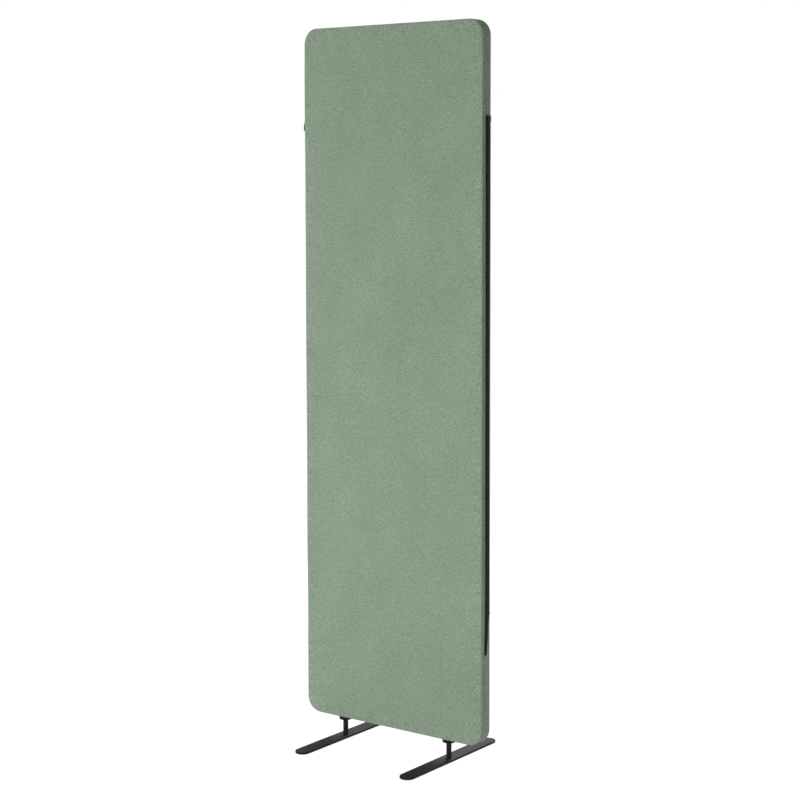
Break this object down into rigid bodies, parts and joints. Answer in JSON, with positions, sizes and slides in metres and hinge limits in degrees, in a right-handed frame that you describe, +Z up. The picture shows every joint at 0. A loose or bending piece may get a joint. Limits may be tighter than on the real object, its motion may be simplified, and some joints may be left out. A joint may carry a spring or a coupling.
{
  "type": "partition screen",
  "caption": "Free-standing cloth-covered room divider panel on flat steel feet, with half a zip down each side edge so that screens can be joined in a row.",
  "frame": {"origin": "on the floor, under the centre of the panel", "axes": "+X to the right along the panel's width, the front looks towards -Y, +Z up"},
  "size_m": [0.5244, 0.35, 1.65],
  "materials": {
    "cloth": "woven melange",
    "padding": "soft wadding",
    "wood": "planed pine",
    "dowel_wood": "fluted beech",
    "core": "pressed wool board",
    "zip_tape": "woven tape",
    "zip_plastic": "moulded",
    "slider_metal": "black enamel",
    "foot_steel": "fine matt powder coat",
    "bright_steel": "zinc plated",
    "brass": "turned",
    "pad": "smooth"
  },
  "bodies": {
    "screen": {"cover_front": "cloth", "cover_back": "cloth", "padding_front": "padding", "padding_back": "padding", "frame_stile_left": "wood", "frame_stile_right": "wood", "frame_rail_top": "wood", "frame_rail_bottom": "wood", "frame_rail_cross_1": "wood", "frame_rail_cross_2": "wood", "frame_dowels": "dowel_wood", "core_board_1": "core", "core_board_2": "core", "core_board_3": "core", "zip_tape_left": "zip_tape", "zip_tape_right": "zip_tape", "zip_teeth_left": "zip_plastic", "zip_teeth_right": "zip_plastic", "zip_stop_left": "zip_plastic", "zip_stop_right": "zip_plastic", "zip_pin_left": "zip_plastic", "zip_pin_right": "zip_plastic", "zip_box_left": "zip_plastic", "foot_bar_left": "foot_steel", "foot_post_left": "foot_steel", "foot_collar_left": "foot_steel", "foot_pads_left": "pad", "foot_stud_left": "bright_steel", "foot_screw_left": "bright_steel", "foot_insert_left": "brass", "foot_bar_right": "foot_steel", "foot_post_right": "foot_steel", "foot_collar_right": "foot_steel", "foot_pads_right": "pad", "foot_stud_right": "bright_steel", "foot_screw_right": "bright_steel", "foot_insert_right": "brass"},
    "slider": {"zip_slider": "slider_metal"},
    "pull": {"zip_pull": "slider_metal"}
  },
  "joints": [
    {"name": "slider_travel", "type": "slide", "parent": "screen", "child": "slider", "axis": [0, 0, 1], "range_m": [-1.0644, 0]},
    {"name": "pull_swing", "type": "hinge", "parent": "slider", "child": "pull", "pos_m": [-0.25858, 0.00673, 1.4283], "axis": [0.9659, -0.2588, 0], "range_deg": [0, 170]}
  ]
}
